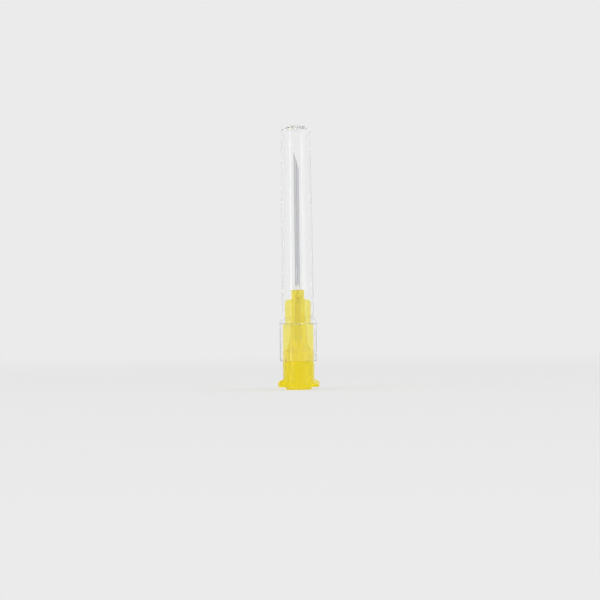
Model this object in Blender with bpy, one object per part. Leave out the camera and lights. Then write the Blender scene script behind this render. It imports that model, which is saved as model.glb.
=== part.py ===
"""A single-use hypodermic needle, 20 gauge by one inch, with its clear cap on.

The needle stands on the open end of its hub, with +Z along the steel tube towards the point and
the two lock lugs along X. The origin is the centre of the hub's open end. Sizes are in metres.
"""

import math

import bmesh
import bpy
from mathutils import Matrix, Vector

MM = 0.001

# Hub, open end: a six percent taper socket inside a thin lip
SOCKET_MOUTH_D = 4.28 * MM
SOCKET_TAPER = 0.06
SOCKET_DEPTH = 7.5 * MM
MOUTH_CHAMFER = 0.08 * MM
LIP_WALL = 0.30 * MM
LIP_HEIGHT = 0.45 * MM
LIP_EDGE = 0.12 * MM

# Hub, lock lugs: their upper faces follow the two-start thread of the lock
LUG_SPAN = 7.8 * MM
LUG_WIDTH = 3.5 * MM
LUG_THICKNESS = 0.90 * MM
LUG_SETBACK = 0.05 * MM
LUG_FLANK = math.radians(8)
LOCK_LEAD = 5.0 * MM

# Hub, round body with a low flange between the lugs
BODY_WALL = 0.78 * MM
BODY_HEIGHT = 7.30 * MM
BODY_EDGE = 0.12 * MM
FLANGE_STEP = 0.10 * MM
FLANGE_HEIGHT = 1.15 * MM

# Hub, core: a flare over the socket's floor, a straight part, then a thinner one up to the nose
FLARE_SETBACK = 0.57 * MM
FLARE_RISE = 2.50 * MM
LOWER_CORE_LENGTH = 2.30 * MM
LOWER_CORE_D = 3.06 * MM
UPPER_CORE_D = 2.60 * MM
CORE_EDGE = 0.15 * MM
NOSE_D = 2.45 * MM
NOSE_LENGTH = 1.75 * MM
NOSE_EDGE = 0.12 * MM

# Hub, fins: four, wide where the cap's skirt grips and narrow above, thinner towards their edges
FIN_COUNT = 4
FIN_ROOT_THICKNESS = 0.64 * MM
FIN_TIP_THICKNESS = 0.46 * MM
FIN_INSET = 0.04 * MM
LOWER_FIN_EDGE = 0.20 * MM
UPPER_FIN_SPAN = 4.92 * MM
UPPER_FIN_LENGTH = 4.60 * MM
UPPER_FIN_SHOULDER = 0.80 * MM

# Hub, waterway between the socket's floor and the steel tube
FUNNEL_D = 2.0 * MM
FUNNEL_HEIGHT = 1.0 * MM

# Steel tube with its three-facet point
TUBE_OD = 0.90 * MM
TUBE_WALL = 0.15 * MM
TUBE_EXPOSED = 25.95 * MM
TUBE_SEAT_HEIGHT = 0.40 * MM
TUBE_CLEARANCE = 0.02 * MM
BEVEL_ANGLE = math.radians(15)
LANCET_ANGLE = math.radians(20)
LANCET_TURN = math.radians(35)
LANCET_LEAD = 0.05 * MM

# Cured glue in the well at the nose, creeping a little way up the tube
WELL_WIDTH = 0.28 * MM
WELL_DEPTH = 1.40 * MM
GLUE_CLEARANCE = 0.02 * MM
GLUE_RISE = 0.90 * MM
GLUE_FEATHER = 0.05 * MM

# Cap: a skirt over the fins and the upper body, an inner ledge, and a tapering tube
CAP_CLEARANCE = 0.08 * MM
CAP_WALL = 0.45 * MM
CAP_OVERLAP = 1.94 * MM
CAP_STOP_GAP = 0.03 * MM
CAP_RIM_EDGE = 0.15 * MM
CAP_LEDGE_WALL = 0.30 * MM
CAP_SHOULDER_HEIGHT = 1.20 * MM
CAP_TUBE_DRAFT = math.radians(0.42)
CAP_TIP_ROOM = 4.20 * MM
CAP_END_WALL = 0.60 * MM
CAP_END_EDGE = 1.10 * MM
CAP_END_CROWN = 0.25 * MM

# Facets
ROUND_SIDES = 48
TUBE_SIDES = 32
EDGE_STEPS = 3
CURVE_STEPS = 5
LUG_STEPS = 8

# Overlaps that joined shapes share, and how far cutters pass the faces that they cut
BURY = 0.30 * MM
PASS = 1.00 * MM

# Hub sizes that follow from the ones above
MOUTH_R = SOCKET_MOUTH_D / 2
LIP_R = MOUTH_R + LIP_WALL
BODY_R = MOUTH_R + BODY_WALL
FLANGE_R = BODY_R + FLANGE_STEP
FLANGE_TOP_Z = LIP_HEIGHT + FLANGE_HEIGHT
LUG_R = LUG_SPAN / 2
LUG_BASE_Z = LIP_HEIGHT + LUG_SETBACK
LUG_ROOT_R = (MOUTH_R + BODY_R) / 2
FLARE_TOP_Z = SOCKET_DEPTH + FLARE_RISE
FIN_STEP_Z = FLARE_TOP_Z + LOWER_CORE_LENGTH
UPPER_FIN_TOP_Z = FIN_STEP_Z + UPPER_FIN_LENGTH
NOSE_TOP_Z = UPPER_FIN_TOP_Z + NOSE_LENGTH
LOWER_FIN_R = BODY_R - FIN_INSET
UPPER_FIN_R = UPPER_FIN_SPAN / 2

# Tube and glue sizes that follow
TUBE_R = TUBE_OD / 2
TUBE_BORE_R = TUBE_R - TUBE_WALL
TUBE_BASE_Z = SOCKET_DEPTH + FUNNEL_HEIGHT + TUBE_SEAT_HEIGHT
TIP_Z = NOSE_TOP_Z + TUBE_EXPOSED
BEVEL_LENGTH = TUBE_OD / math.tan(BEVEL_ANGLE)
BORE_R = TUBE_R + TUBE_CLEARANCE
FIN_ROOT_R = (BORE_R + NOSE_D / 2) / 2
WELL_R = BORE_R + WELL_WIDTH
WELL_FLOOR_Z = NOSE_TOP_Z - WELL_DEPTH

# Cap heights are counted from its mouth, which is also its origin
CAP_MOUTH_Z = BODY_HEIGHT - CAP_OVERLAP
CAP_BORE_R = BODY_R + CAP_CLEARANCE
CAP_SKIRT_R = CAP_BORE_R + CAP_WALL
CAP_LEDGE_H = FIN_STEP_Z + CAP_STOP_GAP - CAP_MOUTH_Z
CAP_TUBE_BORE_R = UPPER_FIN_R + CAP_CLEARANCE
CAP_INNER_TOP_H = TIP_Z + CAP_TIP_ROOM - CAP_MOUTH_Z
CAP_TOP_H = CAP_INNER_TOP_H + CAP_END_WALL


def arc(centre_r, centre_z, radius, start_deg, end_deg, steps=EDGE_STEPS):
    """Points (r, z) along an arc, with both ends; 0 degrees points outwards, 90 degrees up."""
    points = []
    for i in range(steps + 1):
        angle = math.radians(start_deg + (end_deg - start_deg) * i / steps)
        points.append((centre_r + radius * math.cos(angle), centre_z + radius * math.sin(angle)))
    return points


def socket_radius(z):
    """Radius of the taper socket at a height above the hub's open end."""
    return MOUTH_R - SOCKET_TAPER / 2 * z


def material(name, colour, roughness, metallic=0.0, transmission=0.0, ior=1.49):
    """A plain surface with the colour, gloss and clearness of one part."""
    made = bpy.data.materials.new(name)
    made.use_nodes = True
    shader = made.node_tree.nodes["Principled BSDF"]
    shader.inputs["Base Color"].default_value = (*colour, 1.0)
    shader.inputs["Roughness"].default_value = roughness
    shader.inputs["Metallic"].default_value = metallic
    shader.inputs["Transmission Weight"].default_value = transmission
    shader.inputs["IOR"].default_value = ior
    return made


def finish(name, bm, surface=None):
    """Turns a bmesh into a smooth-shaded object and links it to the scene."""
    bmesh.ops.recalc_face_normals(bm, faces=bm.faces)
    mesh = bpy.data.meshes.new(name)
    bm.to_mesh(mesh)
    bm.free()
    mesh.shade_smooth()
    mesh.set_sharp_from_angle(angle=math.radians(30))
    if surface:
        mesh.materials.append(surface)
    made = bpy.data.objects.new(name, mesh)
    bpy.context.collection.objects.link(made)
    return made


def revolve(outline, sides, closed=False):
    """Turns an outline of (r, z) points about the Z axis; its open ends lie on the axis."""
    bm = bmesh.new()
    verts = [bm.verts.new((r, 0.0, z)) for r, z in outline]
    edges = [bm.edges.new(pair) for pair in zip(verts, verts[1:])]
    if closed:
        edges.append(bm.edges.new((verts[-1], verts[0])))
    bmesh.ops.spin(bm, geom=verts + edges, cent=(0, 0, 0), axis=(0, 0, 1),
                   angle=math.tau, steps=sides, use_merge=True)
    bmesh.ops.remove_doubles(bm, verts=bm.verts, dist=0.0001 * MM)
    return bm


def boolean(target, tool, operation):
    """Joins a tool to a target, or cuts it out; the tool itself stays a hidden guide."""
    tool.hide_render = True
    tool.display_type = "WIRE"
    tool.parent = target
    step = target.modifiers.new(tool.name, "BOOLEAN")
    step.operation = operation
    step.solver = "EXACT"
    step.object = tool


def flare_outline():
    """The core's hollow curve from the body's top up to where the core runs straight."""
    foot_r = BODY_R - FLARE_SETBACK
    points = []
    for i in range(CURVE_STEPS + 1):
        rise = i / CURVE_STEPS
        r = LOWER_CORE_D / 2 + (foot_r - LOWER_CORE_D / 2) * (1 - rise) ** 2
        points.append((r, BODY_HEIGHT + (FLARE_TOP_Z - BODY_HEIGHT) * rise))
    return points


def hub_outline():
    """The hub's turned outside, from the axis at the open end to the axis at the nose."""
    points = [(0.0, 0.0)]
    points += arc(LIP_R - LIP_EDGE, LIP_EDGE, LIP_EDGE, -90, 0)
    points += [(LIP_R, LIP_HEIGHT)]
    points += arc(FLANGE_R - BODY_EDGE, LIP_HEIGHT + BODY_EDGE, BODY_EDGE, -90, 0)
    points += arc(BODY_R, FLANGE_TOP_Z - FLANGE_STEP, FLANGE_STEP, 0, 90)
    points += arc(BODY_R - BODY_EDGE, BODY_HEIGHT - BODY_EDGE, BODY_EDGE, 0, 90)
    points += flare_outline()
    points += arc(LOWER_CORE_D / 2 - CORE_EDGE, FIN_STEP_Z - CORE_EDGE, CORE_EDGE, 0, 90)
    points += [(UPPER_CORE_D / 2, FIN_STEP_Z)]
    points += arc(NOSE_D / 2 - NOSE_EDGE, NOSE_TOP_Z - NOSE_EDGE, NOSE_EDGE, 0, 90)
    points += [(0.0, NOSE_TOP_Z)]
    return points


def waterway_outline():
    """The hollow cut from the hub: socket, funnel, tube bore and glue well, open at both ends."""
    funnel_top_z = SOCKET_DEPTH + FUNNEL_HEIGHT
    return [
        (0.0, -PASS),
        (MOUTH_R + MOUTH_CHAMFER + PASS, -PASS),
        (socket_radius(MOUTH_CHAMFER), MOUTH_CHAMFER),
        (socket_radius(SOCKET_DEPTH), SOCKET_DEPTH),
        (FUNNEL_D / 2, SOCKET_DEPTH),
        (BORE_R, funnel_top_z),
        (BORE_R, WELL_FLOOR_Z),
        (WELL_R, WELL_FLOOR_Z + WELL_WIDTH),
        (WELL_R, NOSE_TOP_Z + PASS),
        (0.0, NOSE_TOP_Z + PASS),
    ]


def fin_outline():
    """One fin's side view as (r, z), from inside the core out to its edges."""
    foot_z = BODY_HEIGHT - BURY
    points = [(FIN_ROOT_R, foot_z), (LOWER_FIN_R, foot_z)]
    points += arc(LOWER_FIN_R - LOWER_FIN_EDGE, FIN_STEP_Z - LOWER_FIN_EDGE, LOWER_FIN_EDGE, 0, 90)
    points += [(UPPER_FIN_R, FIN_STEP_Z)]
    points += arc(UPPER_FIN_R - UPPER_FIN_SHOULDER, UPPER_FIN_TOP_Z - UPPER_FIN_SHOULDER,
                  UPPER_FIN_SHOULDER, 0, 90, CURVE_STEPS)
    points += [(FIN_ROOT_R, UPPER_FIN_TOP_Z)]
    return points


def add_fin(bm, turn):
    """One moulded fin with draft, so that it is thinnest at its outer edge."""
    face = bm.faces.new([bm.verts.new((r, 0.0, z)) for r, z in fin_outline()])
    near = list(face.verts)
    extruded = bmesh.ops.extrude_face_region(bm, geom=[face])["geom"]
    far = [item for item in extruded if isinstance(item, bmesh.types.BMVert)]
    for side, verts in ((-1, near), (1, far)):
        for vert in verts:
            reach = (vert.co.x - FIN_ROOT_R) / (LOWER_FIN_R - FIN_ROOT_R)
            thickness = FIN_ROOT_THICKNESS + (FIN_TIP_THICKNESS - FIN_ROOT_THICKNESS) * reach
            vert.co.y = side * thickness / 2
    bmesh.ops.rotate(bm, verts=near + far, cent=(0, 0, 0), matrix=Matrix.Rotation(turn, 3, "Z"))


def lug_top(point):
    """Height of a lug's upper face: a right-hand helix with a sloping flank."""
    helix = LOCK_LEAD * math.atan2(point.y, point.x) / math.tau
    flank = (LUG_R - math.hypot(point.x, point.y)) * math.tan(LUG_FLANK)
    return LUG_BASE_Z + LUG_THICKNESS + helix + flank


def add_lug(bm, turn):
    """One lock lug: parallel sides, a round outer face, a flat base and a helical upper face."""
    rows = []
    for i in range(LUG_STEPS + 1):
        y = LUG_WIDTH * (i / LUG_STEPS - 0.5)
        rows.append([bm.verts.new((math.sqrt(r * r - y * y), y, LUG_BASE_Z)) for r in (LUG_ROOT_R, LUG_R)])
    base = [bm.faces.new((a[0], a[1], b[1], b[0])) for a, b in zip(rows, rows[1:])]
    extruded = bmesh.ops.extrude_face_region(bm, geom=base)["geom"]
    upper = [item for item in extruded if isinstance(item, bmesh.types.BMVert)]
    for vert in upper:
        vert.co.z = lug_top(vert.co)
    lower = [vert for row in rows for vert in row]
    bmesh.ops.rotate(bm, verts=lower + upper, cent=(0, 0, 0), matrix=Matrix.Rotation(turn, 3, "Z"))


def build_hub():
    """The yellow moulding: turned body, fins and lugs joined, then the waterway cut through."""
    surface = material("hub_yellow", (0.83, 0.66, 0.03), 0.30, transmission=0.35)
    hub = finish("hub", revolve(hub_outline(), ROUND_SIDES), surface)

    ribs = bmesh.new()
    for i in range(FIN_COUNT):
        add_fin(ribs, math.tau * i / FIN_COUNT)
    for i in range(2):
        add_lug(ribs, math.pi * i)
    boolean(hub, finish("hub_fins_and_lugs", ribs), "UNION")
    boolean(hub, finish("hub_waterway", revolve(waterway_outline(), ROUND_SIDES)), "DIFFERENCE")
    return hub


def grinding_block(name, point, tilt, turn):
    """A block whose flat face is one ground facet: tilted from the tube's axis, then turned."""
    size = 2 * (BEVEL_LENGTH + PASS)
    outward = Matrix.Rotation(turn, 3, "Z") @ Vector((math.cos(tilt), 0.0, math.sin(tilt)))
    bm = bmesh.new()
    bmesh.ops.create_cube(bm, size=size)
    place = Matrix.Translation(point + outward * (size / 2))
    bmesh.ops.transform(bm, matrix=place @ outward.to_track_quat("Z", "Y").to_matrix().to_4x4(), verts=bm.verts)
    return finish(name, bm)


def build_cannula():
    """The drawn steel tube, with one long bevel and two lancet facets ground at its tip."""
    surface = material("cannula_steel", (0.62, 0.63, 0.65), 0.25, metallic=1.0)
    wall = [
        (TUBE_BORE_R, TUBE_BASE_Z),
        (TUBE_R, TUBE_BASE_Z),
        (TUBE_R, TIP_Z + PASS),
        (TUBE_BORE_R, TIP_Z + PASS),
    ]
    cannula = finish("cannula", revolve(wall, TUBE_SIDES, closed=True), surface)
    tip = Vector((-TUBE_R, 0.0, TIP_Z))
    bevel_start = tip + Vector((0.0, 0.0, LANCET_LEAD))
    boolean(cannula, grinding_block("bevel_block", bevel_start, BEVEL_ANGLE, 0.0), "DIFFERENCE")
    for side in (-1, 1):
        block = grinding_block(f"lancet_block_{side + 2}", tip, LANCET_ANGLE, side * LANCET_TURN)
        boolean(cannula, block, "DIFFERENCE")
    return cannula


def build_adhesive_bead():
    """The glue: it fills the well and feathers out in a hollow curve up the tube."""
    surface = material("cured_glue", (0.80, 0.82, 0.80), 0.15, transmission=0.7, ior=1.5)
    inner_r = TUBE_R + GLUE_CLEARANCE
    outer_r = WELL_R - GLUE_CLEARANCE
    floor_z = WELL_FLOOR_Z + GLUE_CLEARANCE
    outline = [(inner_r, NOSE_TOP_Z + GLUE_RISE), (inner_r, floor_z + GLUE_CLEARANCE)]
    outline += [(inner_r + GLUE_FEATHER, floor_z + GLUE_CLEARANCE + GLUE_FEATHER)]
    outline += [(outer_r, WELL_FLOOR_Z + WELL_WIDTH + GLUE_CLEARANCE)]
    for i in range(CURVE_STEPS + 1):
        rise = i / CURVE_STEPS
        spread = (outer_r - inner_r - GLUE_FEATHER) * (1 - rise) ** 2
        outline.append((inner_r + GLUE_FEATHER + spread, NOSE_TOP_Z + GLUE_RISE * rise))
    return finish("adhesive_bead", revolve(outline, TUBE_SIDES, closed=True), surface)


def end_outline(radius, top_h, edge):
    """The rounded closed end of a tube as (r, h), from the axis out to the side wall."""
    flat_r = radius - edge
    points = []
    for i in range(CURVE_STEPS - 1):
        reach = i / (CURVE_STEPS - 1)
        points.append((flat_r * reach, top_h - CAP_END_CROWN * reach ** 2))
    points += arc(flat_r, top_h - CAP_END_CROWN - edge, edge, 90, 0, CURVE_STEPS)
    return points


def cap_tube_radius(base_r, height):
    """Radius of the cap's tapering tube at a height, for the bore's or the outer base radius."""
    return base_r - (height - CAP_LEDGE_H) * math.tan(CAP_TUBE_DRAFT)


def cap_outline():
    """The cap's section: from the crown on the axis down the outside, then up the inside."""
    tube_r = CAP_TUBE_BORE_R + CAP_WALL
    shoulder_h = CAP_LEDGE_H + CAP_LEDGE_WALL
    points = end_outline(cap_tube_radius(tube_r, CAP_TOP_H), CAP_TOP_H, CAP_END_EDGE)
    for i in range(CURVE_STEPS + 1):
        fall = i / CURVE_STEPS
        height = shoulder_h + CAP_SHOULDER_HEIGHT * (1 - fall)
        blend = (1 - math.cos(math.pi * fall)) / 2
        top_r = cap_tube_radius(tube_r, shoulder_h + CAP_SHOULDER_HEIGHT)
        points.append((top_r + (CAP_SKIRT_R - top_r) * blend, height))
    points += arc(CAP_SKIRT_R - CAP_RIM_EDGE, CAP_RIM_EDGE, CAP_RIM_EDGE, 0, -90)
    points += arc(CAP_BORE_R + CAP_RIM_EDGE, CAP_RIM_EDGE, CAP_RIM_EDGE, -90, -180)
    points += [(CAP_BORE_R, CAP_LEDGE_H), (CAP_TUBE_BORE_R, CAP_LEDGE_H)]
    inner_end_r = cap_tube_radius(CAP_TUBE_BORE_R, CAP_INNER_TOP_H)
    inner_end = end_outline(inner_end_r, CAP_INNER_TOP_H, CAP_END_EDGE - CAP_WALL)
    points += reversed(inner_end)
    return points


def build_cap():
    """The clear sheath. It pulls straight off along +Z and comes to rest on the lower fins."""
    surface = material("cap_clear", (0.92, 0.94, 0.94), 0.08, transmission=1.0)
    cap = finish("cap", revolve(cap_outline(), ROUND_SIDES), surface)
    cap.location = (0.0, 0.0, CAP_MOUTH_Z)
    return cap


def main():
    """Clears the scene, then builds the needle and its cap."""
    for old in list(bpy.data.objects):
        bpy.data.objects.remove(old, do_unlink=True)
    hub = build_hub()
    for fixed in (build_cannula(), build_adhesive_bead(), build_cap()):
        fixed.parent = hub


main()
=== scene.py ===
"""Looks of a hypodermic needle in its clear cap: fine meshes, finishes, studio and camera."""

import logging
import math
from dataclasses import dataclass
from enum import Enum

import bmesh
import bpy
from mathutils import Matrix, Vector


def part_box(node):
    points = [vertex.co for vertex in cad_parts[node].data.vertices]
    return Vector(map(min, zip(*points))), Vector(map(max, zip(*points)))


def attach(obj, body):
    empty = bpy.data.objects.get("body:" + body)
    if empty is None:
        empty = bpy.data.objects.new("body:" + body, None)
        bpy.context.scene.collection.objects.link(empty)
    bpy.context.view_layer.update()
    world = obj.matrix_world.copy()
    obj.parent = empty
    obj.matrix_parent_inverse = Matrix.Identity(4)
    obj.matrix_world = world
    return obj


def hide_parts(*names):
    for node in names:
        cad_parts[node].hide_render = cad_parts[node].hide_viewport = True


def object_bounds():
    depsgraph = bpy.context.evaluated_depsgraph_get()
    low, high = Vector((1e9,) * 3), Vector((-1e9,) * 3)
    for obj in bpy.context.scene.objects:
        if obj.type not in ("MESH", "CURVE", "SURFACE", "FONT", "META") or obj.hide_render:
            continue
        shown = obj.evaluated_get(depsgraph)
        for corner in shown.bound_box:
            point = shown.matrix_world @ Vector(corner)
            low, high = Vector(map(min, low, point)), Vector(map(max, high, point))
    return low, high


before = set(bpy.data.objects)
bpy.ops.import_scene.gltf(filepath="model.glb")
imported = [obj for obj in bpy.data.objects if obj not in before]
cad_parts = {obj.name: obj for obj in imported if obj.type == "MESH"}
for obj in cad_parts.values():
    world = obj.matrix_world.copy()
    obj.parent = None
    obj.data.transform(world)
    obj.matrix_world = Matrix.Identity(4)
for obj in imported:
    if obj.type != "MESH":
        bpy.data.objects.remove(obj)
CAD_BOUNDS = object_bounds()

MM = 0.001
WELD = 0.0005 * MM
SHARP_ANGLE = math.radians(32)
SMALL_ARC_STEPS = 4
TINY_ARC_STEPS = 3
NOISE_MIDDLE = (0.3, 0.7)
FLOW_NOISE = {"Detail": 3.0, "Roughness": 0.55}
GRAIN_NOISE = {"Detail": 4.0, "Roughness": 0.6}
LINE_NOISE = {"Detail": 3.0, "Roughness": 0.6}

Outline = list[tuple[float, float]]
Section = list[Vector]
Colour = tuple[float, float, float]
log = logging.getLogger("needle")


class Body(Enum):
    """The two bodies of the frame: the needle itself and the cap that slides off it."""

    NEEDLE = "needle"
    CAP = "cap"


class Join(Enum):
    """What a Boolean does with its tool."""

    UNION = "UNION"
    CUT = "DIFFERENCE"


def arc(centre_r: float, centre_z: float, radius: float, start: float, end: float,
        steps: int = 6) -> Outline:
    """Points along an arc of an outline.

    Args:
        centre_r: Distance of the arc's centre from the needle's axis.
        centre_z: Height of the arc's centre.
        radius: Radius of the arc.
        start: First angle in degrees, where 0 points outwards and 90 up.
        end: Last angle in degrees.
        steps: Number of straight steps along the arc.

    Returns:
        The points (r, z), with both ends.
    """
    angles = [math.radians(start + (end - start) * i / steps) for i in range(steps + 1)]
    return [(centre_r + radius * math.cos(a), centre_z + radius * math.sin(a)) for a in angles]


def between(low: float, high: float, steps: int) -> list[float]:
    """Evenly spaced values from low to high, with both ends."""
    return [low + (high - low) * i / steps for i in range(steps + 1)]


def plain(colour: Colour) -> tuple[float, float, float, float]:
    """A colour with the fourth value that shader sockets ask for."""
    return (*colour, 1.0)


def grey(level: float) -> tuple[float, float, float, float]:
    """A grey of one level, for a shader's socket."""
    return plain((level, level, level))


class Nodes:
    """Builds one node tree: adds nodes by type, fills their inputs and links them."""

    def __init__(self, tree: bpy.types.NodeTree) -> None:
        """Empties the tree and keeps it."""
        self.tree = tree
        tree.nodes.clear()

    def add(self, kind: str, inputs: dict | None = None, **settings: object) -> bpy.types.Node:
        """Adds a node.

        Args:
            kind: The node's type name.
            inputs: Input name or index to a value or to the output socket that feeds it.
            **settings: Properties of the node itself.

        Returns:
            The new node.
        """
        node = self.tree.nodes.new(kind)
        for name, value in settings.items():
            setattr(node, name, value)
        for key, value in (inputs or {}).items():
            if isinstance(value, bpy.types.NodeSocket):
                self.tree.links.new(value, node.inputs[key])
            else:
                node.inputs[key].default_value = value
        return node

    def spread(self, pattern: bpy.types.NodeSocket, span: tuple[float, float]) -> bpy.types.NodeSocket:
        """Spreads a noise pattern's middle values over a span.

        Args:
            pattern: The noise's output.
            span: Values for the low and the high end of the pattern.

        Returns:
            The output with the spread values.
        """
        node = self.add("ShaderNodeMapRange", {
            "Value": pattern, "From Min": NOISE_MIDDLE[0], "From Max": NOISE_MIDDLE[1],
            "To Min": span[0], "To Max": span[1]})
        return node.outputs[0]


def geometry_tree(name: str, values: dict[str, str]) -> tuple[Nodes, bpy.types.Node]:
    """Starts a Geometry Nodes tree with a geometry input, named inputs and a geometry output.

    Args:
        name: Name of the tree.
        values: Input name to socket type.

    Returns:
        The tree's node builder and its group input.
    """
    tree = bpy.data.node_groups.new(name, "GeometryNodeTree")
    tree.is_modifier = True
    tree.interface.new_socket("Geometry", in_out="INPUT", socket_type="NodeSocketGeometry")
    for label, kind in values.items():
        tree.interface.new_socket(label, in_out="INPUT", socket_type=kind)
    tree.interface.new_socket("Geometry", in_out="OUTPUT", socket_type="NodeSocketGeometry")
    nodes = Nodes(tree)
    return nodes, nodes.add("NodeGroupInput")


def end_tree(nodes: Nodes, given: bpy.types.Node,
             geometry: bpy.types.NodeSocket) -> bpy.types.NodeTree:
    """Ends a tree in Realize Instances and Set Material.

    Args:
        nodes: The tree's node builder.
        given: The tree's group input, which gives the material as Finish.
        geometry: The output that holds the finished geometry.

    Returns:
        The finished tree.
    """
    real = nodes.add("GeometryNodeRealizeInstances", {"Geometry": geometry})
    dressed = nodes.add("GeometryNodeSetMaterial", {
        "Geometry": real.outputs[0], "Material": given.outputs["Finish"]})
    nodes.add("NodeGroupOutput", {"Geometry": dressed.outputs[0]})
    return nodes.tree


def turned_tree() -> bpy.types.NodeTree:
    """A tree that turns an outline about the Z axis.

    Returns:
        The tree. It lays a grid of one column for each side, reads the outline's points row by
        row, and turns each column to its own angle.
    """
    nodes, given = geometry_tree("turned_from_outline", {
        "Sides": "NodeSocketInt", "Finish": "NodeSocketMaterial"})
    outline = given.outputs["Geometry"]
    rows = nodes.add("GeometryNodeAttributeDomainSize", {"Geometry": outline}, component="MESH")
    columns = nodes.add("FunctionNodeIntegerMath", {0: given.outputs["Sides"], 1: 1}, operation="ADD")
    grid = nodes.add("GeometryNodeMeshGrid", {
        "Vertices X": columns.outputs[0], "Vertices Y": rows.outputs[0]})
    index = nodes.add("GeometryNodeInputIndex")
    counted = {0: index.outputs[0], 1: rows.outputs[0]}
    row = nodes.add("FunctionNodeIntegerMath", counted, operation="MODULO")
    column = nodes.add("FunctionNodeIntegerMath", counted, operation="DIVIDE_FLOOR")
    point = nodes.add("GeometryNodeSampleIndex", data_type="FLOAT_VECTOR", domain="POINT")
    place = nodes.add("GeometryNodeInputPosition")
    read = {"Geometry": outline, "Value": place.outputs[0], "Index": row.outputs[0]}
    for socket, source in read.items():
        nodes.tree.links.new(source, point.inputs[socket])
    turn = nodes.add("ShaderNodeMath", {0: column.outputs[0], 1: math.tau}, operation="MULTIPLY")
    angle = nodes.add("ShaderNodeMath", {
        0: turn.outputs[0], 1: given.outputs["Sides"]}, operation="DIVIDE")
    turned = nodes.add("ShaderNodeVectorRotate", {
        "Vector": point.outputs[0], "Angle": angle.outputs[0]}, rotation_type="Z_AXIS")
    placed = nodes.add("GeometryNodeSetPosition", {
        "Geometry": grid.outputs[0], "Position": turned.outputs[0]})
    return end_tree(nodes, given, placed.outputs[0])


def radial_tree() -> bpy.types.NodeTree:
    """A tree that repeats a mesh about the Z axis.

    Returns:
        The tree. It sets one point for each copy on the axis and turns each copy to its place.
    """
    nodes, given = geometry_tree("copies_round_axis", {
        "Count": "NodeSocketInt", "Finish": "NodeSocketMaterial"})
    points = nodes.add("GeometryNodePoints", {"Count": given.outputs["Count"]})
    index = nodes.add("GeometryNodeInputIndex")
    turn = nodes.add("ShaderNodeMath", {0: index.outputs[0], 1: math.tau}, operation="MULTIPLY")
    angle = nodes.add("ShaderNodeMath", {
        0: turn.outputs[0], 1: given.outputs["Count"]}, operation="DIVIDE")
    rotation = nodes.add("ShaderNodeCombineXYZ", {"Z": angle.outputs[0]})
    copies = nodes.add("GeometryNodeInstanceOnPoints", {
        "Points": points.outputs[0], "Instance": given.outputs["Geometry"],
        "Rotation": rotation.outputs[0]})
    return end_tree(nodes, given, copies.outputs[0])


def as_object(name: str, bm: bmesh.types.BMesh) -> bpy.types.Object:
    """Puts a bmesh into a new object at the origin and frees it.

    Args:
        name: Name of the object and its mesh.
        bm: The bmesh.

    Returns:
        The new object.
    """
    mesh = bpy.data.meshes.new(name)
    bm.to_mesh(mesh)
    bm.free()
    made = bpy.data.objects.new(name, mesh)
    bpy.context.scene.collection.objects.link(made)
    return made


def bake_modifiers(made: bpy.types.Object) -> None:
    """Replaces an object's mesh by its evaluated mesh and removes the modifiers.

    Args:
        made: The object.
    """
    graph = bpy.context.evaluated_depsgraph_get()
    mesh = bpy.data.meshes.new_from_object(made.evaluated_get(graph), depsgraph=graph)
    made.modifiers.clear()
    made.data = mesh


def run_tree(made: bpy.types.Object, tree: bpy.types.NodeTree, values: dict[str, object]) -> None:
    """Runs a Geometry Nodes tree on an object and keeps the result as its plain mesh.

    Args:
        made: The object whose mesh goes in.
        tree: The tree to run.
        values: Input name to value.
    """
    step = made.modifiers.new(tree.name, "NODES")
    step.node_group = tree
    for item in tree.interface.items_tree:
        if item.name in values:
            step[item.identifier] = values[item.name]
    bake_modifiers(made)


def close_and_smooth(made: bpy.types.Object) -> None:
    """Welds a mesh's seams and poles, turns its faces outwards and shades it smooth.

    Args:
        made: The object that holds the mesh.
    """
    bm = bmesh.new()
    bm.from_mesh(made.data)
    bmesh.ops.remove_doubles(bm, verts=bm.verts, dist=WELD)
    bmesh.ops.dissolve_degenerate(bm, dist=WELD, edges=bm.edges)
    bmesh.ops.recalc_face_normals(bm, faces=bm.faces)
    bm.to_mesh(made.data)
    bm.free()
    made.data.shade_smooth()
    made.data.set_sharp_from_angle(angle=SHARP_ANGLE)


def boolean(made: bpy.types.Object, tool: bpy.types.Object, join: Join) -> None:
    """Joins a tool to a piece or cuts it out, and deletes the tool.

    Args:
        made: The piece.
        tool: The object that is joined on or cut out.
        join: What is done with the tool.
    """
    step = made.modifiers.new(tool.name, "BOOLEAN")
    step.operation = join.value
    step.solver = "EXACT"
    step.material_mode = "TRANSFER"
    step.object = tool
    bake_modifiers(made)
    bpy.data.objects.remove(tool, do_unlink=True)


def outline_object(name: str, points: Outline) -> bpy.types.Object:
    """An object that holds an outline as a chain of points in the XZ plane.

    Args:
        name: Name of the object.
        points: The outline's points (r, z).

    Returns:
        The new object.
    """
    bm = bmesh.new()
    verts = [bm.verts.new((r, 0.0, z)) for r, z in points]
    for pair in zip(verts, verts[1:]):
        bm.edges.new(pair)
    return as_object(name, bm)


def turned_piece(name: str, points: Outline, sides: int,
                 finish: bpy.types.Material) -> bpy.types.Object:
    """A closed turned piece.

    Args:
        name: Name of the piece.
        points: Its outline, with both ends on the axis, or with the last point on the first.
        sides: Number of sides around the axis.
        finish: Its material.

    Returns:
        The finished object.
    """
    made = outline_object(name, points)
    run_tree(made, turned_tree(), {"Sides": sides, "Finish": finish})
    close_and_smooth(made)
    return made


def hand_over(made: bpy.types.Object, body: Body, node: str) -> None:
    """Hands a finished piece to the frame and logs it.

    Args:
        made: The finished object.
        body: The body that it moves with.
        node: The node of the frame that it stands for.
    """
    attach(made, body.value)
    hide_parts(node)
    faces = len(made.data.polygons)
    log.info("%s: %d faces, rides on %s, stands for %s", made.name, faces, body.value, node)


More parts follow.
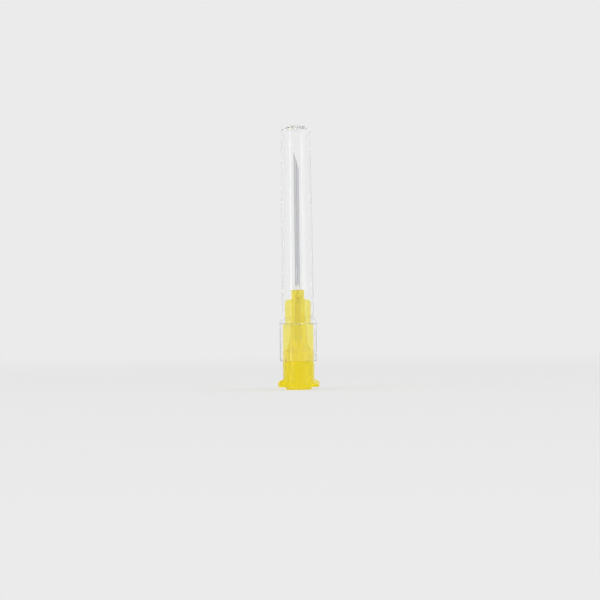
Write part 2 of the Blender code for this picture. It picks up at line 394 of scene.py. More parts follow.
@dataclass(frozen=True)
class MouldedPlastic:
    """A clear plastic: coloured at its surface, tinted and hazy inside, under a thin glossy skin.

    The tint is what a millimetre of the plastic takes from red, green and blue light, and the haze
    is how often a millimetre scatters it. The flow is the slow unevenness that the plastic keeps
    from filling its mould, and the grain is the mould's own. The mirror is the share that is kept
    of what a plain surface reflects.
    """

    name: str
    surface: Colour
    clearness: float
    tint_per_mm: Colour
    gloss: tuple[float, float]
    grain: float
    grain_depth: float
    flow: float
    flow_depth: float
    flow_stretch: float = 4.0
    refraction: float = 1.45
    mirror: float = 0.55
    haze_per_mm: float = 0.0
    haze_spread: float = 0.7
    skin: float = 0.0
    skin_gloss: float = 0.10

    def inside(self, nodes: Nodes) -> bpy.types.NodeSocket:
        """Builds what fills the plastic: its tint, and its haze if it has one.

        Args:
            nodes: The material's node builder.

        Returns:
            The output for the material's volume.
        """
        most = max(self.tint_per_mm)
        kept = tuple(1 - share / most for share in self.tint_per_mm)
        tint = nodes.add("ShaderNodeVolumeAbsorption", {"Color": plain(kept), "Density": most / MM})
        if not self.haze_per_mm:
            return tint.outputs[0]
        haze = nodes.add("ShaderNodeVolumeScatter", {
            "Color": plain(self.surface), "Density": self.haze_per_mm / MM,
            "Anisotropy": self.haze_spread})
        both = nodes.add("ShaderNodeAddShader", {0: tint.outputs[0], 1: haze.outputs[0]})
        return both.outputs[0]

    def build(self) -> bpy.types.Material:
        """Builds the material's node tree.

        Returns:
            The material.
        """
        made = bpy.data.materials.new(self.name)
        made.use_nodes = True
        nodes = Nodes(made.node_tree)
        place = nodes.add("ShaderNodeTexCoord")
        along = nodes.add("ShaderNodeMapping", {
            "Vector": place.outputs["Object"], "Scale": (1.0, 1.0, 1 / self.flow_stretch)})
        flow = nodes.add("ShaderNodeTexNoise", {
            "Vector": along.outputs[0], "Scale": 1 / self.flow, **FLOW_NOISE})
        grain = nodes.add("ShaderNodeTexNoise", {
            "Vector": place.outputs["Object"], "Scale": 1 / self.grain, **GRAIN_NOISE})
        waves = nodes.add("ShaderNodeBump", {
            "Height": flow.outputs["Fac"], "Distance": self.flow_depth})
        grainy = nodes.add("ShaderNodeBump", {
            "Height": grain.outputs["Fac"], "Distance": self.grain_depth, "Normal": waves.outputs[0]})
        shader = nodes.add("ShaderNodeBsdfPrincipled", {
            "Base Color": plain(self.surface), "IOR": self.refraction,
            "Roughness": nodes.spread(flow.outputs["Fac"], self.gloss),
            "Transmission Weight": self.clearness, "Normal": grainy.outputs[0],
            "Specular Tint": grey(self.mirror),
            "Coat Weight": self.skin, "Coat Roughness": self.skin_gloss,
            "Coat Normal": waves.outputs[0]})
        nodes.add("ShaderNodeOutputMaterial", {
            "Surface": shader.outputs[0], "Volume": self.inside(nodes)})
        return made


@dataclass(frozen=True)
class DrawnSteel:
    """Stainless steel with fine lines along the tube, or across it where it is ground.

    The stretch is how closely the lines' pattern is set along X, Y and Z.
    """

    name: str
    colour: Colour
    gloss: tuple[float, float]
    line_width: float
    line_depth: float
    stretch: tuple[float, float, float]

    def build(self) -> bpy.types.Material:
        """Builds the material's node tree.

        Returns:
            The material.
        """
        made = bpy.data.materials.new(self.name)
        made.use_nodes = True
        nodes = Nodes(made.node_tree)
        place = nodes.add("ShaderNodeTexCoord")
        along = nodes.add("ShaderNodeMapping", {
            "Vector": place.outputs["Object"], "Scale": self.stretch})
        lines = nodes.add("ShaderNodeTexNoise", {
            "Vector": along.outputs[0], "Scale": 1 / self.line_width, **LINE_NOISE})
        drawn = nodes.add("ShaderNodeBump", {
            "Height": lines.outputs["Fac"], "Distance": self.line_depth})
        shader = nodes.add("ShaderNodeBsdfPrincipled", {
            "Base Color": plain(self.colour), "Metallic": 1.0, "Normal": drawn.outputs[0],
            "Roughness": nodes.spread(lines.outputs["Fac"], self.gloss)})
        nodes.add("ShaderNodeOutputMaterial", {"Surface": shader.outputs[0]})
        return made


HUB_PLASTIC = MouldedPlastic(
    name="hub_clear_yellow", surface=(1.00, 0.906, 0.24), clearness=0.99,
    tint_per_mm=(0.001, 0.016, 0.90), gloss=(0.18, 0.28), grain=0.06 * MM, grain_depth=0.0015 * MM,
    flow=1.6 * MM, flow_depth=0.012 * MM, haze_per_mm=0.8, skin=0.13, skin_gloss=0.08)
CAP_PLASTIC = MouldedPlastic(
    name="cap_clear_natural", surface=(1.0, 1.0, 1.0), clearness=0.982,
    tint_per_mm=(0.003, 0.002, 0.002), gloss=(0.05, 0.11), grain=0.10 * MM,
    grain_depth=0.0003 * MM, flow=4.0 * MM, flow_depth=0.002 * MM)
GLUE = MouldedPlastic(
    name="cured_glue", surface=(0.98, 0.98, 0.975), clearness=0.30,
    tint_per_mm=(0.02, 0.01, 0.03), gloss=(0.18, 0.32), grain=0.20 * MM, grain_depth=0.002 * MM,
    flow=0.6 * MM, flow_depth=0.02 * MM)
TUBE_STEEL = DrawnSteel(
    name="tube_drawn_steel", colour=(0.52, 0.53, 0.55), gloss=(0.27, 0.35), line_width=0.06 * MM,
    line_depth=0.0006 * MM, stretch=(1.0, 1.0, 0.02))
# The ground point's steel is much lighter than the tube's as a painted sheen: its colour stands in for
# the brighter reflection the tilted bevel facets catch. Its cross lines are real grinding marks.
GROUND_STEEL_PAINTED_SHEEN = DrawnSteel(
    name="point_ground_steel_painted_sheen", colour=(0.74, 0.75, 0.76), gloss=(0.25, 0.42), line_width=0.04 * MM,
    line_depth=0.0015 * MM, stretch=(1.0, 0.06, 1.0))


@dataclass
class Hub:
    """The yellow hub: a lofted quarter with one fin, repeated, then the two lock lugs joined on.

    A field that ends in steps, rows or columns says into how many parts a form is divided. The
    flange's slope and the two shoulder angles are in degrees.
    """

    mouth_r: float = 2.14 * MM
    taper: float = 0.06
    socket_depth: float = 7.5 * MM
    mouth_chamfer: float = 0.08 * MM
    chamfer_rounding: float = 0.1
    chamfer_sink: float = 0.004 * MM
    lip_wall: float = 0.30 * MM
    lip_height: float = 0.45 * MM
    edge: float = 0.12 * MM
    foot: float = 0.08 * MM
    largest_share: float = 0.4
    body_wall: float = 0.78 * MM
    body_height: float = 7.30 * MM
    flange_step: float = 0.10 * MM
    flange_height: float = 1.15 * MM
    flange_slope: float = 60.0
    flare_setback: float = 0.57 * MM
    flare_rise: float = 2.50 * MM
    lower_core_r: float = 1.53 * MM
    lower_core_length: float = 2.30 * MM
    upper_core_r: float = 1.30 * MM
    nose_r: float = 1.225 * MM
    nose_length: float = 1.75 * MM
    fin_count: int = 4
    fin_root_half: float = 0.32 * MM
    fin_tip_half: float = 0.23 * MM
    fin_inset: float = 0.04 * MM
    fin_edge: float = 0.07 * MM
    fin_fillet: float = 0.14 * MM
    upper_fin_r: float = 2.46 * MM
    upper_fin_length: float = 4.60 * MM
    upper_fin_shoulder: float = 0.80 * MM
    shoulder_sweep: float = 78.0
    shoulder_last: float = 84.0
    funnel_r: float = 1.0 * MM
    funnel_height: float = 1.0 * MM
    bore_r: float = 0.47 * MM
    well_width: float = 0.28 * MM
    well_depth: float = 1.40 * MM
    lug_r: float = 3.9 * MM
    lug_width: float = 3.5 * MM
    lug_thickness: float = 0.90 * MM
    lug_setback: float = 0.05 * MM
    lug_flank: float = math.radians(8)
    lug_edge: float = 0.10 * MM
    lug_edge_angle: float = math.radians(50)
    lug_count: int = 2
    lock_lead: float = 5.0 * MM
    tip_steps: int = 4
    corner_steps: int = 3
    outer_flank_steps: int = 4
    flank_steps: int = 5
    fillet_steps: int = 5
    core_steps: int = 8
    flare_steps: int = 16
    upper_fin_steps: int = 4
    shoulder_steps: int = 10
    lug_rows: int = 24
    lug_columns: int = 6
    lug_edge_steps: int = 3

    def __post_init__(self) -> None:
        """Works out the heights and radii that follow from the sizes, and the columns' angles."""
        self.lip_r = self.mouth_r + self.lip_wall
        self.body_r = self.mouth_r + self.body_wall
        self.flare_top = self.socket_depth + self.flare_rise
        self.fin_step = self.flare_top + self.lower_core_length
        self.fin_top = self.fin_step + self.upper_fin_length
        self.nose_top = self.fin_top + self.nose_length
        self.lower_fin_r = self.body_r - self.fin_inset
        self.well_r = self.bore_r + self.well_width
        half = self.half_section(self.lower_core_r, self.lower_fin_r, False)
        self.angles = [math.atan2(point.y, point.x) for point in half]

    def fin_half(self, r: float) -> float:
        """Half of a fin's thickness, which its draft makes less towards the tip.

        Args:
            r: Distance from the needle's axis.

        Returns:
            Half of the thickness there.
        """
        inner = (self.bore_r + self.nose_r) / 2
        reach = (r - inner) / (self.lower_fin_r - inner)
        return self.fin_root_half + (self.fin_tip_half - self.fin_root_half) * reach

    def flank(self, outer: float, inner: float, steps: int) -> Section:
        """A fin's flank from one distance to a smaller one, without its first point."""
        return [Vector((x, self.fin_half(x))) for x in between(outer, inner, steps)[1:]]

    def half_section(self, core_r: float, fin_r: float, narrow: bool) -> Section:
        """Half of a quarter's section across the hub, from a fin's middle to the core between fins.

        Args:
            core_r: Radius of the core.
            fin_r: Distance of the fin's outer edge from the axis.
            narrow: True above the fins' step, where the columns of the wide fin's outer flank
                lie on the narrow fin's tip and rounded corner.

        Returns:
            The section's points, in order.
        """
        edge = self.fin_edge
        half = self.fin_half(fin_r)
        flank_end = min(fin_r, self.upper_fin_r) - edge
        tips, turns = self.tip_steps, self.corner_steps
        if narrow:
            tips, turns = tips + self.outer_flank_steps - 1, turns + 1
        points = [Vector((fin_r, (half - edge) * i / tips)) for i in range(tips)]
        points += [Vector(p) for p in arc(fin_r - edge, half - edge, edge, 0, 90, turns)]
        if not narrow:
            points += self.flank(fin_r - edge, flank_end, self.outer_flank_steps)
        fillet = self.fin_fillet
        rise = self.fin_half(core_r) + fillet
        run = math.sqrt((core_r + fillet) ** 2 - rise ** 2)
        points += self.flank(flank_end, run, self.flank_steps)[:-1]
        lean = math.atan2(rise, run)
        fillet_end = math.degrees(lean) - 180
        points += [Vector(p) for p in arc(run, rise, fillet, -90, fillet_end, self.fillet_steps)]
        sector = math.pi / self.fin_count
        for a in between(lean, sector, self.core_steps)[1:]:
            points.append(Vector((core_r * math.cos(a), core_r * math.sin(a))))
        return points

    def section(self, core_r: float, fin_r: float, narrow: bool = False) -> Section:
        """A quarter's whole section across the hub, mirrored about the fin's middle."""
        half = self.half_section(core_r, fin_r, narrow)
        return [Vector((p.x, -p.y)) for p in reversed(half[1:])] + half

    def ring(self, r: float) -> Section:
        """A quarter of a circle, with a point at the angle of each point of the lower section."""
        angles = [-a for a in reversed(self.angles[1:])] + self.angles
        return [Vector((r * math.cos(a), r * math.sin(a))) for a in angles]

    def core(self, z: float) -> float:
        """Radius of the core: a hollow flare, then straight, then a slight taper.

        Args:
            z: Height.

        Returns:
            The radius at that height.
        """
        if z > self.fin_step:
            climb = (z - self.fin_step) / (self.nose_top - self.fin_step)
            return self.upper_core_r + (self.nose_r - self.upper_core_r) * climb
        left = max(0.0, (self.flare_top - z) / (self.flare_top - self.body_height))
        return self.lower_core_r + (self.body_r - self.flare_setback - self.lower_core_r) * left ** 2

    def step(self, lower: Section, upper: Section, z: float) -> list[list[Vector]]:
        """Rows over a step: a rounded edge, a flat and a small fillet.

        Args:
            lower: The section below the step.
            upper: The smaller section above it.
            z: Height of the flat.

        Returns:
            The rows of points. Where the two sections meet, a column's points fall together.
        """
        edge_rows: list[list[Vector]] = [[] for _ in range(SMALL_ARC_STEPS + 1)]
        foot_rows: list[list[Vector]] = [[] for _ in range(SMALL_ARC_STEPS + 1)]
        for low, high in zip(lower, upper):
            way = high - low
            edge = min(self.edge, self.largest_share * way.length)
            foot = min(self.foot, self.largest_share * way.length)
            way.normalize()
            for row, (out, up) in zip(edge_rows, arc(0, 0, 1, 180, 90, SMALL_ARC_STEPS)):
                spot = low + way * edge * (1 + out)
                row.append(Vector((spot.x, spot.y, z - edge + edge * up)))
            for row, (out, up) in zip(foot_rows, arc(0, 0, 1, -90, 0, SMALL_ARC_STEPS)):
                spot = high - way * foot * (1 - out)
                row.append(Vector((spot.x, spot.y, z + foot + foot * up)))
        return edge_rows + foot_rows

    def at(self, section: Section, z: float) -> list[Vector]:
        """A section's points at a height."""
        return [Vector((p.x, p.y, z)) for p in section]

    def skirt_outline(self) -> Outline:
        """The round end of the hub.

        Returns:
            The outline over the mouth's chamfer, the lip, the flange and the foot of the body.
        """
        edge, foot, slope = self.edge, self.foot, self.flange_slope
        flange_r = self.body_r + self.flange_step
        flange_top = self.lip_height + self.flange_height
        inset = self.mouth_chamfer * (1 - self.chamfer_rounding)
        outset = self.mouth_chamfer * (1 + self.chamfer_rounding)
        return [
            (self.mouth_r - self.taper / 2 * self.mouth_chamfer, self.mouth_chamfer),
            (self.mouth_r + inset, self.chamfer_sink),
            (self.mouth_r + outset, 0.0),
            *arc(self.lip_r - edge, edge, edge, -90, 0),
            *arc(self.lip_r + foot, self.lip_height - foot, foot, 180, 90, SMALL_ARC_STEPS),
            *arc(flange_r - edge, self.lip_height + edge, edge, -90, 0),
            *arc(self.body_r, flange_top - self.flange_step, self.flange_step, 0, slope),
            *arc(self.body_r + foot, flange_top + foot / 2, foot, 180 + slope, 180, TINY_ARC_STEPS),
        ]

    def hollow_outline(self) -> Outline:
        """The inside of the hub, from the nose down.

        Returns:
            The outline over the glue well, the tube's bore, the funnel and the socket's floor.
        """
        edge, rim = self.edge, self.foot / 2
        floor_r = self.mouth_r - self.taper / 2 * self.socket_depth
        well_floor = self.nose_top - self.well_depth
        funnel_top = self.socket_depth + self.funnel_height
        return [
            *arc(self.well_r + rim, self.nose_top - rim, rim, 90, 180, SMALL_ARC_STEPS),
            (self.well_r, well_floor + self.well_width),
            (self.bore_r, well_floor),
            (self.bore_r, funnel_top),
            (self.funnel_r, self.socket_depth),
            *arc(floor_r - edge, self.socket_depth - edge, edge, 90, 0, SMALL_ARC_STEPS),
        ]

    def rows(self) -> list[list[Vector]]:
        """All rows of the lofted quarter.

        Returns:
            The rows of points, once round from the mouth over the nose and back inside.
        """
        rows = [self.at(self.ring(r), z) for r, z in self.skirt_outline()]
        wide, thin = self.lower_fin_r, self.upper_fin_r
        body_core = self.core(self.body_height + self.foot)
        rows += self.step(self.ring(self.body_r), self.section(body_core, wide), self.body_height)
        for z in between(self.body_height + 2 * self.foot, self.flare_top, self.flare_steps):
            rows.append(self.at(self.section(self.core(z), wide), z))
        below = self.section(self.lower_core_r, wide)
        above = self.section(self.upper_core_r, thin, True)
        rows += self.step(below, above, self.fin_step)
        shoulder = self.upper_fin_shoulder
        bend = self.fin_top - shoulder
        for z in between(self.fin_step + 3 * self.foot, bend, self.upper_fin_steps)[:-1]:
            rows.append(self.at(self.section(self.core(z), thin, True), z))
        sweep, steps = self.shoulder_sweep, self.shoulder_steps
        for fin_r, z in arc(thin - shoulder, bend, shoulder, 0, sweep, steps):
            rows.append(self.at(self.section(self.core(z), fin_r, True), z))
        nose_foot = self.core(self.fin_top)
        last_fin_r = thin - shoulder + shoulder * math.cos(math.radians(self.shoulder_last))
        last = self.section(nose_foot, last_fin_r, True)
        rows += self.step(last, self.ring(nose_foot), self.fin_top)[SMALL_ARC_STEPS:]
        nose = arc(self.nose_r - self.edge, self.nose_top - self.edge, self.edge, 0, 90)
        rows += [self.at(self.ring(r), z) for r, z in nose + self.hollow_outline()]
        return rows

    def finned_body(self, finish: bpy.types.Material) -> bpy.types.Object:
        """The hub without its lugs: one lofted quarter, repeated round the axis and welded.

        Args:
            finish: The hub's material.

        Returns:
            The closed body.
        """
        bm = bmesh.new()
        grid = [[bm.verts.new(point) for point in row] for row in self.rows()]
        for near, far in zip(grid, grid[1:] + grid[:1]):
            for i in range(len(near) - 1):
                bm.faces.new((near[i], near[i + 1], far[i + 1], far[i]))
        made = as_object("hub_moulding", bm)
        run_tree(made, radial_tree(), {"Count": self.fin_count, "Finish": finish})
        close_and_smooth(made)
        return made

    def lug_top(self, point: Vector) -> float:
        """Height of a lug's upper face, which is a right-hand helix with a sloping flank.

        Args:
            point: A point of the face.

        Returns:
            The height there.
        """
        helix = self.lock_lead * math.atan2(point.y, point.x) / math.tau
        flank = (self.lug_r - math.hypot(point.x, point.y)) * math.tan(self.lug_flank)
        return self.lip_height + self.lug_setback + self.lug_thickness + helix + flank

    def lugs(self, finish: bpy.types.Material) -> bpy.types.Object:
        """The two lock lugs, with rounded edges, repeated round the axis.

        Args:
            finish: The hub's material.

        Returns:
            One object with both lugs, each closed.
        """
        bm = bmesh.new()
        base_z = self.lip_height + self.lug_setback
        root_r = (self.mouth_r + self.body_r) / 2
        rows = []
        for y in between(-self.lug_width / 2, self.lug_width / 2, self.lug_rows):
            spots = [math.sqrt(r * r - y * y) for r in between(root_r, self.lug_r, self.lug_columns)]
            rows.append([bm.verts.new((x, y, base_z)) for x in spots])
        faces = []
        for near, far in zip(rows, rows[1:]):
            for i in range(len(near) - 1):
                faces.append(bm.faces.new((near[i], near[i + 1], far[i + 1], far[i])))
        raised = bmesh.ops.extrude_face_region(bm, geom=faces)["geom"]
        for vert in (item for item in raised if isinstance(item, bmesh.types.BMVert)):
            vert.co.z = self.lug_top(vert.co)
        made = as_object("lock_lugs", bm)
        close_and_smooth(made)
        rounding = made.modifiers.new("rounding", "BEVEL")
        rounding.width = self.lug_edge
        rounding.segments = self.lug_edge_steps
        rounding.limit_method = "ANGLE"
        rounding.angle_limit = self.lug_edge_angle
        bake_modifiers(made)
        run_tree(made, radial_tree(), {"Count": self.lug_count, "Finish": finish})
        close_and_smooth(made)
        return made

    def build(self) -> None:
        """Builds the hub, joins its lugs and hands it over."""
        finish = HUB_PLASTIC.build()
        made = self.finned_body(finish)
        boolean(made, self.lugs(finish), Join.UNION)
        close_and_smooth(made)
        hand_over(made, Body.NEEDLE, "hub")


@dataclass
class Cannula:
    """The steel tube: a turned wall with its point ground by three flat facets."""

    outer_r: float = 0.45 * MM
    wall: float = 0.15 * MM
    bevel: float = math.radians(15)
    lancet: float = math.radians(20)
    lancet_turn: float = math.radians(35)
    lancet_lead: float = 0.05 * MM
    deburr: float = 0.02 * MM
    spare: float = 1.0 * MM
    sides: int = 96

    def grind(self, made: bpy.types.Object, start: Vector, tilt: float, turn: float,
              finish: bpy.types.Material) -> None:
        """Grinds one flat facet.

        Args:
            made: The tube.
            start: A point of the facet's plane.
            tilt: Angle between the facet and the tube's axis.
            turn: Turn of the facet about the axis.
            finish: Material of the ground face.
        """
        size = 2 * (2 * self.outer_r / math.tan(self.bevel) + self.spare)
        outward = Matrix.Rotation(turn, 3, "Z") @ Vector((math.cos(tilt), 0.0, math.sin(tilt)))
        turned = outward.to_track_quat("Z", "Y").to_matrix().to_4x4()
        place = Matrix.Translation(start + outward * size / 2) @ turned
        bm = bmesh.new()
        bmesh.ops.create_cube(bm, size=size, matrix=place)
        block = as_object("grinding_block", bm)
        block.data.materials.append(finish)
        boolean(made, block, Join.CUT)

    def build(self) -> None:
        """Builds the tube from the frame's box of its node, grinds its point and hands it over."""
        low, high = (Vector(corner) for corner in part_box("cannula"))
        inner_r = self.outer_r - self.wall
        top = high.z + self.spare
        outline = [
            (inner_r, low.z + self.deburr), (inner_r + self.deburr, low.z),
            (self.outer_r - self.deburr, low.z), (self.outer_r, low.z + self.deburr),
            (self.outer_r, top), (inner_r, top), (inner_r, low.z + self.deburr),
        ]
        made = turned_piece("cannula_tube", outline, self.sides, TUBE_STEEL.build())
        # The ground facets take the lighter steel, whose colour is a painted sheen for their brighter
        # look.
        ground = GROUND_STEEL_PAINTED_SHEEN.build()
        tip = Vector((-self.outer_r, 0.0, high.z))
        self.grind(made, tip + Vector((0.0, 0.0, self.lancet_lead)), self.bevel, 0.0, ground)
        for side in (-1, 1):
            self.grind(made, tip, self.lancet, side * self.lancet_turn, ground)
        close_and_smooth(made)
        hand_over(made, Body.NEEDLE, "cannula")


@dataclass
class GlueBead:
    """The cured glue: it fills the well and feathers up the tube a little unevenly."""

    clearance: float = 0.02 * MM
    feather: float = 0.05 * MM
    rise: float = 0.90 * MM
    waves: int = 2
    wave_start: float = 1.0
    unevenness: float = 0.07
    rise_steps: int = 14
    sides: int = 96

    def build(self) -> None:
        """Builds the bead in the space of its node and hands it over."""
        low, high = (Vector(corner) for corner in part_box("adhesive_bead"))
        hub_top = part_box("hub")[1][2]
        inner_r = Cannula.outer_r + self.clearance
        outer_r = high.x
        outline = [
            (inner_r, high.z), (inner_r, low.z), (inner_r + self.feather, low.z + self.feather),
            (outer_r, low.z + self.feather + outer_r - inner_r),
        ]
        for climb in between(0.0, 1.0, self.rise_steps):
            spread = (outer_r - inner_r - self.feather) * (1 - climb) ** 2
            outline.append((inner_r + self.feather + spread, hub_top + self.rise * climb))
        outline.append((inner_r, high.z))
        made = turned_piece("glue_bead", outline, self.sides, GLUE.build())
        for vert in made.data.vertices:
            above = vert.co.z - hub_top
            if above > 0:
                turn = math.atan2(vert.co.y, vert.co.x)
                wave = 1 + math.sin(self.waves * turn + self.wave_start)
                vert.co.z -= above * self.unevenness * wave
        hand_over(made, Body.NEEDLE, "adhesive_bead")


@dataclass
class Cap:
    """The clear cap: a skirt with an inner ledge, a soft shoulder and a tapering closed tube."""

    wall: float = 0.45 * MM
    bore_r: float = 3.00 * MM
    ledge_z: float = 12.33 * MM
    ledge_wall: float = 0.30 * MM
    shoulder_height: float = 1.20 * MM
    tube_bore_r: float = 2.54 * MM
    draft: float = math.radians(0.42)
    end_wall: float = 0.60 * MM
    end_edge: float = 1.10 * MM
    crown: float = 0.25 * MM
    rim_edge: float = 0.15 * MM
    inner_edge: float = 0.10 * MM
    dimple_r: float = 0.70 * MM
    dimple_depth: float = 0.10 * MM
    gate_r: float = 0.28 * MM
    gate_steps: int = 3
    end_steps: int = 12
    shoulder_steps: int = 16
    sides: int = 144

    def tube_r(self, base_r: float, z: float) -> float:
        """Radius of the tapering tube at a height, for its bore or its outside."""
        return base_r - (z - self.ledge_z) * math.tan(self.draft)

    def end(self, r: float, top: float, edge: float) -> Outline:
        """A closed end from the axis to the side wall: a low crown and a rounded edge.

        Args:
            r: Radius of the side wall at the end.
            top: Height of the end on the axis.
            edge: Radius of the rounded edge.

        Returns:
            The end's outline.
        """
        flat = r - edge
        reaches = between(0.0, 1.0, self.end_steps)[:-1]
        crown = [(flat * reach, top - self.crown * reach ** 2) for reach in reaches]
        return crown + arc(flat, top - self.crown - edge, edge, 90, 0, self.end_steps)

    def gate_dimple(self, point: tuple[float, float]) -> tuple[float, float]:
        """Sinks a point of the crown into the shallow dimple round the moulding gate.

        Args:
            point: The point (r, z).

        Returns:
            The point, lower if it is in the dimple.
        """
        r, z = point
        if r >= self.dimple_r:
            return point
        depth = self.dimple_depth * (1 + math.cos(math.pi * r / self.dimple_r)) / 2
        return r, z - depth

    def build(self) -> None:
        """Builds the cap between the mouth and the top of its node and hands it over."""
        low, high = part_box("cap")
        mouth, top = low[2], high[2]
        skirt_r = self.bore_r + self.wall
        outer_r = self.tube_bore_r + self.wall
        crown = self.end(self.tube_r(outer_r, top), top, self.end_edge)
        fine = [(self.gate_r * i / self.gate_steps, top) for i in range(self.gate_steps)]
        fine += [point for point in crown if point[0] > fine[-1][0]]
        outline = [self.gate_dimple(point) for point in fine]
        shoulder = self.ledge_z + self.ledge_wall
        for fall in between(0.0, 1.0, self.shoulder_steps):
            z = shoulder + self.shoulder_height * (1 - fall)
            ease = (1 - math.cos(math.pi * fall)) / 2
            start_r = self.tube_r(outer_r, shoulder + self.shoulder_height)
            outline.append((start_r + (skirt_r - start_r) * ease, z))
        rim, inside, lead = self.rim_edge, self.inner_edge, self.inner_edge / 2
        outline += arc(skirt_r - rim, mouth + rim, rim, 0, -90)
        outline += arc(self.bore_r + rim, mouth + rim, rim, -90, -180)
        outline += arc(self.bore_r - inside, self.ledge_z - inside, inside, 0, 90, SMALL_ARC_STEPS)
        outline += arc(self.tube_bore_r + lead, self.ledge_z + lead, lead, -90, -180, SMALL_ARC_STEPS)
        inner_top = top - self.end_wall
        inner = self.end(self.tube_r(self.tube_bore_r, inner_top), inner_top, self.end_edge - self.wall)
        outline += reversed(inner)
        made = turned_piece("cap_sheath", outline, self.sides, CAP_PLASTIC.build())
        hand_over(made, Body.CAP, "cap")


@dataclass(frozen=True)
class SoftLamp:
    """A soft rectangular lamp aimed at the needle's middle.

    The share is how bright it makes a white surface that faces it, where 1 is white.
    """

    name: str
    place: tuple[float, float, float]
    width: float
    height: float
    share: float

    def build(self) -> None:
        """Places the lamp and gives it the energy that its share asks for."""
        data = bpy.data.lights.new(self.name, "AREA")
        data.shape = "RECTANGLE"
        data.size, data.size_y = self.width, self.height
        target = Vector((0.0, 0.0, (CAD_BOUNDS[0][2] + CAD_BOUNDS[1][2]) / 2))
        way = target - Vector(self.place)
        data.energy = self.share * math.pi ** 2 * way.length_squared
        made = bpy.data.objects.new(self.name, data)
        made.location = self.place
        made.rotation_euler = way.to_track_quat("-Z", "Y").to_euler()
        bpy.context.scene.collection.objects.link(made)


KEY_STRIP = SoftLamp(name="key_strip", place=(-0.39, -0.31, 0.22), width=0.08, height=0.50, share=0.15)
FILL_LAMP = SoftLamp(name="fill_lamp", place=(0.42, -0.28, 0.20), width=0.30, height=0.40, share=0.12)
OVERHEAD_STRIP = SoftLamp(
    name="overhead_strip", place=(0.0, -0.02, 0.50), width=1.00, height=0.05, share=0.22)


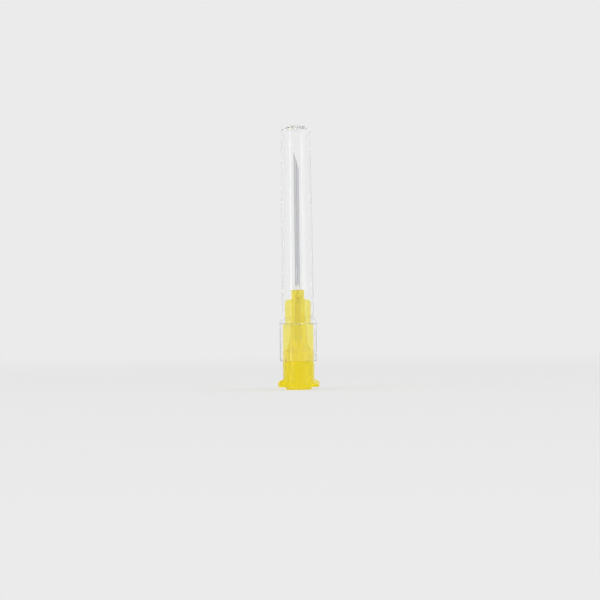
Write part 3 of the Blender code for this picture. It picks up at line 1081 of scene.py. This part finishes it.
@dataclass
class Studio:
    """The camera, and the studio: a pale floor, pale surroundings and three soft lamps.

    The pixel values place the needle in the frame of the photograph.
    """

    image_px: float = 600.0
    px_per_mm: float = 5.35
    base_row_px: float = 389.5
    axis_column_px: float = 297.75
    lean: float = math.radians(0.7)
    distance: float = 0.45
    clip_start: float = 0.01
    sensor: float = 36.0
    floor_size: float = 6.0
    pale: float = 0.83
    ambient: float = 0.79
    shadow_share: float = 0.45
    shadow_glow: float = 0.35
    shadow_reach: tuple[float, float] = (0.06, 0.30)
    walls_crossed: int = 128
    haze_bounces: int = 16

    def camera(self) -> None:
        """Places the camera level in front of the needle, at the photograph's scale and lean."""
        data = bpy.data.cameras.new("camera")
        half_view = self.image_px / self.px_per_mm * MM / 2
        data.sensor_width = self.sensor
        data.lens = self.sensor / 2 * self.distance / half_view
        data.clip_start = self.clip_start
        made = bpy.data.objects.new("camera", data)
        centre_px = self.image_px / 2
        side = (centre_px - self.axis_column_px) / self.px_per_mm * MM
        height = (self.base_row_px - centre_px) / self.px_per_mm * MM
        level = Matrix.Rotation(math.radians(90), 4, "X") @ Matrix.Rotation(-self.lean, 4, "Z")
        made.matrix_world = Matrix.Translation((side, -self.distance, height)) @ level
        bpy.context.scene.collection.objects.link(made)
        bpy.context.scene.camera = made
        log.info("camera: %.1f mm lens, %.2f m away", data.lens, self.distance)

    def seen(self, nodes: Nodes) -> bpy.types.NodeSocket:
        """Tells the rays that see a surface from those that only light it.

        Args:
            nodes: The node builder of a material or the world.

        Returns:
            An output that is 1 for camera, glossy and transmission rays and 0 for the rest.
        """
        ray = nodes.add("ShaderNodeLightPath")
        both = nodes.add("ShaderNodeMath", {
            0: ray.outputs["Is Camera Ray"], 1: ray.outputs["Is Glossy Ray"]}, operation="ADD")
        every = nodes.add("ShaderNodeMath", {
            0: both.outputs[0], 1: ray.outputs["Is Transmission Ray"]}, operation="ADD", use_clamp=True)
        return every.outputs[0]

    def surroundings(self) -> None:
        """Pale where it is seen, mirrored or seen through, and a softer level for lighting."""
        world = bpy.data.worlds.new("surroundings")
        world.use_nodes = True
        nodes = Nodes(world.node_tree)
        pale = nodes.add("ShaderNodeBackground", {"Color": grey(self.pale)})
        soft = nodes.add("ShaderNodeBackground", {"Color": grey(1.0), "Strength": self.ambient})
        mixed = nodes.add("ShaderNodeMixShader", {
            0: self.seen(nodes), 1: soft.outputs[0], 2: pale.outputs[0]})
        nodes.add("ShaderNodeOutputWorld", {"Surface": mixed.outputs[0]})
        bpy.context.scene.world = world

    def floor(self) -> None:
        """A pale floor that keeps the needle's shadow and fades into the surroundings further out."""
        bm = bmesh.new()
        bmesh.ops.create_grid(bm, x_segments=1, y_segments=1, size=self.floor_size / 2)
        made = as_object("floor", bm)
        finish = bpy.data.materials.new("floor_pale")
        finish.use_nodes = True
        nodes = Nodes(finish.node_tree)
        place = nodes.add("ShaderNodeTexCoord")
        away = nodes.add("ShaderNodeVectorMath", {0: place.outputs["Object"]}, operation="LENGTH")
        near, far = self.shadow_reach
        fade = nodes.add("ShaderNodeMapRange", {
            "Value": away.outputs["Value"], "From Min": near, "From Max": far},
            interpolation_type="SMOOTHSTEP")
        unseen = nodes.add("ShaderNodeBsdfDiffuse", {"Color": grey(self.pale)})
        shaded = nodes.add("ShaderNodeBsdfDiffuse", {"Color": grey(self.shadow_share)})
        lit = nodes.add("ShaderNodeEmission", {"Color": grey(self.shadow_glow)})
        close = nodes.add("ShaderNodeAddShader", {0: shaded.outputs[0], 1: lit.outputs[0]})
        open_air = nodes.add("ShaderNodeEmission", {"Color": grey(self.pale)})
        seen = nodes.add("ShaderNodeMixShader", {
            0: fade.outputs[0], 1: close.outputs[0], 2: open_air.outputs[0]})
        mixed = nodes.add("ShaderNodeMixShader", {
            0: self.seen(nodes), 1: unseen.outputs[0], 2: seen.outputs[0]})
        nodes.add("ShaderNodeOutputMaterial", {"Surface": mixed.outputs[0]})
        made.data.materials.append(finish)

    def build(self) -> None:
        """Sets the surroundings, the floor, the lamps, the view transform and the light's bounces."""
        self.surroundings()
        self.floor()
        for lamp in (KEY_STRIP, FILL_LAMP, OVERHEAD_STRIP):
            lamp.build()
        scene = bpy.context.scene
        scene.view_settings.view_transform = "Standard"
        scene.cycles.max_bounces = self.walls_crossed
        scene.cycles.transmission_bounces = self.walls_crossed
        scene.cycles.glossy_bounces = self.walls_crossed
        scene.cycles.diffuse_bounces = self.walls_crossed
        scene.cycles.volume_bounces = self.haze_bounces
        scene.cycles.blur_glossy = 0.0


def main() -> None:
    """Builds the camera, the studio and every piece in order."""
    logging.basicConfig(level=logging.INFO, format="%(name)s: %(message)s")
    studio = Studio()
    studio.camera()
    studio.build()
    for piece in (Hub(), Cannula(), GlueBead(), Cap()):
        piece.build()


if __name__ == "__main__":
    main()
